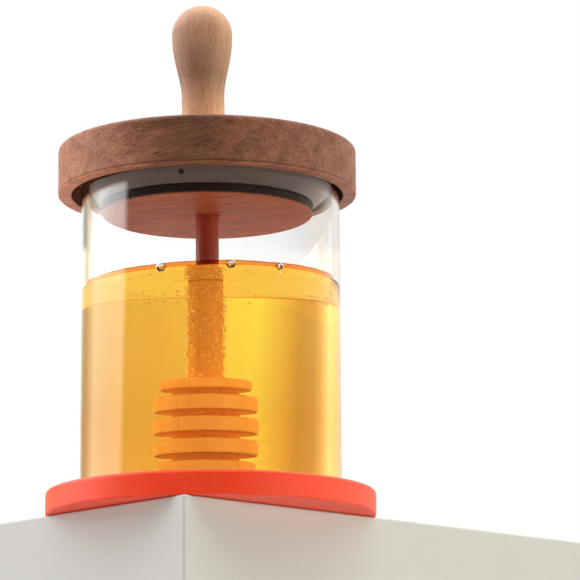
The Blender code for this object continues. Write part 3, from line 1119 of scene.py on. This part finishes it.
# Painted light and shade from the foot to the top: pale at the foot and the top, darker at the
# waist.
KNOB_PAINTED_SHADING = ((0.00, 1.30), (0.22, 1.60), (0.37, 1.12), (0.50, 0.74), (0.64, 0.88),
             (0.80, 1.05), (0.97, 1.30))


def painted_knob_shading(recipe, place, colour):
    """Painted light and shade: the foot and the top lighter, the waist darker."""
    height = recipe.parts(place)[2]
    wander = recipe.noise(place, 60.0, detail=2.0) * 0.10 - 0.05
    # Painted light and shade along the knob's height.
    return toned(recipe, colour, (height - LID_TOP_Z) / KNOB_HEIGHT + wander, KNOB_PAINTED_SHADING, full=2)


beech = wood("beech", colours=((0.30, 0.155, 0.092), (0.55, 0.31, 0.19),
                               (0.19, 0.085, 0.042), (0.72, 0.45, 0.29)),
             along="Z", middle=(0.03, 0.025, 0.0), ring=5 * MM,
             contrast=(0.12, 0.9, 0.6, 0.5), fineness=3200.0, pores=0.65, gloss=0.45,
             shine=0.3, tint=painted_knob_shading)

# %% The knob
SMALL_LATHE_STEPS = 96
BALL_STEPS = 16
TAPER_STEPS = 24
FOOT_STEPS = 10
TAPER_BEND = 1.15


def smooth_step(share):
    return share * share * (3 - 2 * share)


ball_height = KNOB_HEIGHT - KNOB_RADIUS
points = []
for step in range(BALL_STEPS + 1):
    angle = math.pi / 2 * step / BALL_STEPS
    points.append(Vector((KNOB_RADIUS * math.sin(angle),
                          ball_height + KNOB_RADIUS * math.cos(angle))))
for step in range(1, TAPER_STEPS + 1):
    share = step / TAPER_STEPS
    narrowing = smooth_step(share ** TAPER_BEND)
    points.append(Vector((KNOB_RADIUS + (KNOB_NECK - KNOB_RADIUS) * narrowing,
                          ball_height + (KNOB_NECK_HEIGHT - ball_height) * share)))
for step in range(1, FOOT_STEPS + 1):
    share = step / FOOT_STEPS
    points.append(Vector((KNOB_NECK + (KNOB_FOOT - KNOB_NECK) * share ** 2,
                          KNOB_NECK_HEIGHT * (1 - share))))
points.append(Vector((0.0, 0.0)))
shape = turned(points, SMALL_LATHE_STEPS)
bmesh.ops.rotate(shape, cent=(0, 0, 0), matrix=Matrix.Rotation(KNOB_LEAN, 3, "Y"),
                 verts=shape.verts)
bmesh.ops.translate(shape, vec=(KNOB_X, 0, LID_TOP_Z + 0.2 * MM), verts=shape.verts)
piece_from(shape, "knob_wood", [beech], "knob")

# %% [markdown]
# ## The dipper
#
# The dipper's rod is glued into the plug and its grooved head hangs in the honey, which the grooves
# hold while it is twirled. Discs strung on a rod would do from afar, but we write the whole outline
# in one loop, so that discs, grooves and rod are one turned piece. Above the honey the wood is
# painted darker and redder: painted shade, with the orange light the honey throws up on it. Real
# honey is a little cloudy and spreads light on the wood in it. Ours is clear, so the sunken wood
# gives off light of its own. That is a trick for a bright room: in a dark one the dipper would
# shine.

# %% The dipper's wood
HEAD_TOP_Z = 42.8 * MM
HEAD_TOP_DISC = 3.4 * MM
HEAD_GROOVE = 2.0 * MM
HEAD_PITCH = 7.17 * MM
# Painted shade on the wood above the honey, reddened by the honey's orange light.
PAINTED_SHADE_ABOVE_HONEY = (0.50, 0.095, 0.010)
GLOW_ROD = 0.50
GLOW_DISCS = 0.76
GLOW_GROOVES = 0.17
GLOW_TINT = (1.0, 0.88, 0.72)
GROOVE_MARGIN = 0.35 * MM


def painted_rod_shade(recipe, place, colour):
    """Painted shade and orange light on the wood above the honey's surface."""
    height = recipe.parts(place)[2]
    above = recipe.ease(height, HONEY_LEVEL + 0.2 * MM, HONEY_LEVEL + 1.4 * MM)
    # Painted shade above the honey.
    return recipe.mix(above, colour, recipe.times(colour, PAINTED_SHADE_ABOVE_HONEY))


def honey_glow(recipe, place, colour):
    """Light that cloudy honey would spread on the wood, strongest on the rims of the discs."""
    _, radius, height = recipe.round_axis(place, LID_X)
    head = recipe.ease(radius, 4.5 * MM, 6.0 * MM)
    first_groove = HEAD_TOP_Z - HEAD_TOP_DISC + GROOVE_MARGIN
    turn = ((first_groove - height) / HEAD_PITCH).math("FRACT")
    groove = 1 - recipe.ease(turn, 0.30, 0.40)
    groove = groove * (1 - recipe.ease(height, first_groove, first_groove + 0.3 * MM))
    discs = GLOW_DISCS - groove * (GLOW_DISCS - GLOW_GROOVES)
    below = 1 - recipe.ease(height, HONEY_LEVEL - 0.5 * MM, HONEY_LEVEL + 0.8 * MM)
    power = (head * discs + (1 - head) * GLOW_ROD) * below
    return recipe.times(recipe.times(colour, GLOW_TINT), recipe.grey(power))


dipper_wood = wood("dipper_wood", colours=((0.80, 0.34, 0.11), (0.98, 0.50, 0.20),
                                           (0.60, 0.22, 0.06), (1.00, 0.60, 0.28)),
                   along="Z", middle=(0.012, 0.008, 0.0), ring=2.5 * MM,
                   contrast=(0.2, 0.4, 0.5, 0.3), fineness=1500.0, pores=0.4, gloss=0.32,
                   shine=0.5, tint=painted_rod_shade, glow=honey_glow)

# %% The dipper
HEAD_CORE = 7.4 * MM
HEAD_DISCS = (10.2, 11.5, 11.65, 11.55, 10.9)
HEAD_END_DISC = 6.2 * MM
DISC_ROUNDING = 0.9 * MM
END_ROUNDING = 2.0 * MM

rod_top = PLUG_BOTTOM_Z + SOCKET_DEPTH - 0.3 * MM
corners = [(0.0, rod_top, 0.0), (ROD_RADIUS, rod_top, 0.3 * MM)]
disc_top = HEAD_TOP_Z
inner = ROD_RADIUS
for index, disc in enumerate(HEAD_DISCS):
    is_last = index == len(HEAD_DISCS) - 1
    thickness = HEAD_PITCH - HEAD_GROOVE
    if index == 0:
        thickness = HEAD_TOP_DISC
    if is_last:
        thickness = HEAD_END_DISC
    corners.append((inner, disc_top, 0.3 * MM))
    corners.append((disc * MM, disc_top, DISC_ROUNDING))
    corners.append((disc * MM, disc_top - thickness, END_ROUNDING if is_last else DISC_ROUNDING))
    corners.append((0.0 if is_last else HEAD_CORE, disc_top - thickness, 0.3 * MM))
    inner = HEAD_CORE
    disc_top -= thickness + HEAD_GROOVE
shape = turned(rounded(corners, arc_steps=4), SMALL_LATHE_STEPS)
bmesh.ops.translate(shape, vec=(LID_X, 0, 0), verts=shape.verts)
piece_from(shape, "honey_dipper", [dipper_wood], "dipper")
